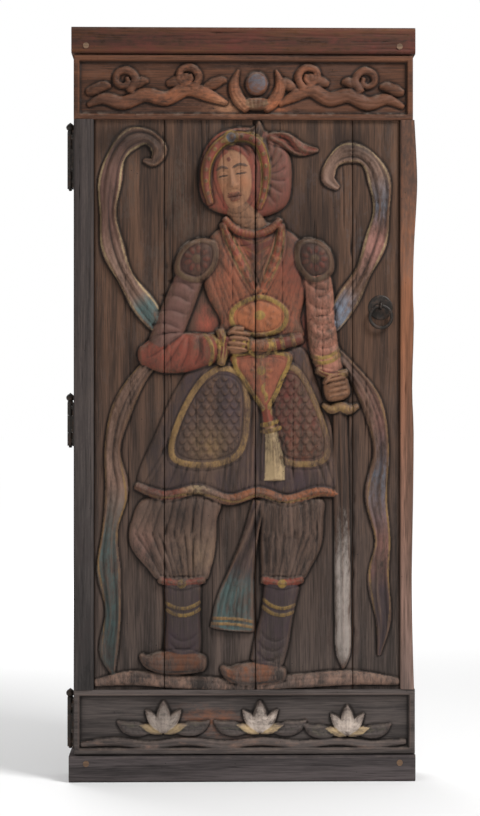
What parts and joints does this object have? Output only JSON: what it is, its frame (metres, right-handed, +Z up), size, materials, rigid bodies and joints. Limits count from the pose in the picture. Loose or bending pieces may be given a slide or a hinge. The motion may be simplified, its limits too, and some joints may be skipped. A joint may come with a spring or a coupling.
{
  "type": "carved temple door",
  "caption": "Carved wooden plank door with a standing guardian figure in relief, hung on iron pin hinges in its own timber frame, with a ring pull.",
  "frame": {"origin": "middle of the underside of the sill, at half the depth of the jambs and half the width of the leaf", "axes": "+X to the latch side as seen from the carved front, +Y from the carved front to the back, +Z up"},
  "size_m": [0.9349, 0.1825, 2],
  "materials": {
    "carved_wood": "worn paint over carved wood",
    "rail_wood": "worn paint over carved wood",
    "frame_red": "old red-brown stain",
    "frame_dark": "dark weathered wood",
    "bare_wood": "bare worn wood",
    "peg": "bare end grain",
    "iron": "hand-forged, dark, a little rust"
  },
  "bodies": {
    "frame": {"lintel": "frame_red", "sill": "frame_dark", "hinge_jamb": "frame_dark", "latch_jamb": "frame_dark", "frame_pegs": "peg", "frame_plate_low": "iron", "frame_plate_mid": "iron", "frame_plate_top": "iron", "hinge_pin_low": "iron", "hinge_pin_mid": "iron", "hinge_pin_top": "iron", "frame_plate_nails": "iron"},
    "leaf": {"plank_1": "carved_wood", "plank_2": "carved_wood", "plank_3": "carved_wood", "plank_4": "carved_wood", "top_rail": "rail_wood", "bottom_rail": "rail_wood", "hinge_stile": "frame_dark", "latch_stile": "bare_wood", "stile_pegs": "peg", "batten_low": "bare_wood", "batten_mid": "bare_wood", "batten_top": "bare_wood", "leaf_plate_low": "iron", "leaf_plate_mid": "iron", "leaf_plate_top": "iron", "leaf_plate_nails": "iron", "pull_plate": "iron", "pull_eye": "iron"},
    "ring": {"pull_ring": "iron"}
  },
  "joints": [
    {"name": "leaf_swing", "type": "hinge", "parent": "frame", "child": "leaf", "pos_m": [-0.462, -0.046, 1], "axis": [0, 0, -1], "range_deg": [0, 110]},
    {"name": "ring_swing", "type": "hinge", "parent": "leaf", "child": "ring", "pos_m": [0.364, -0.103, 1.262], "axis": [-1, 0, 0], "range_deg": [0, 85]}
  ]
}
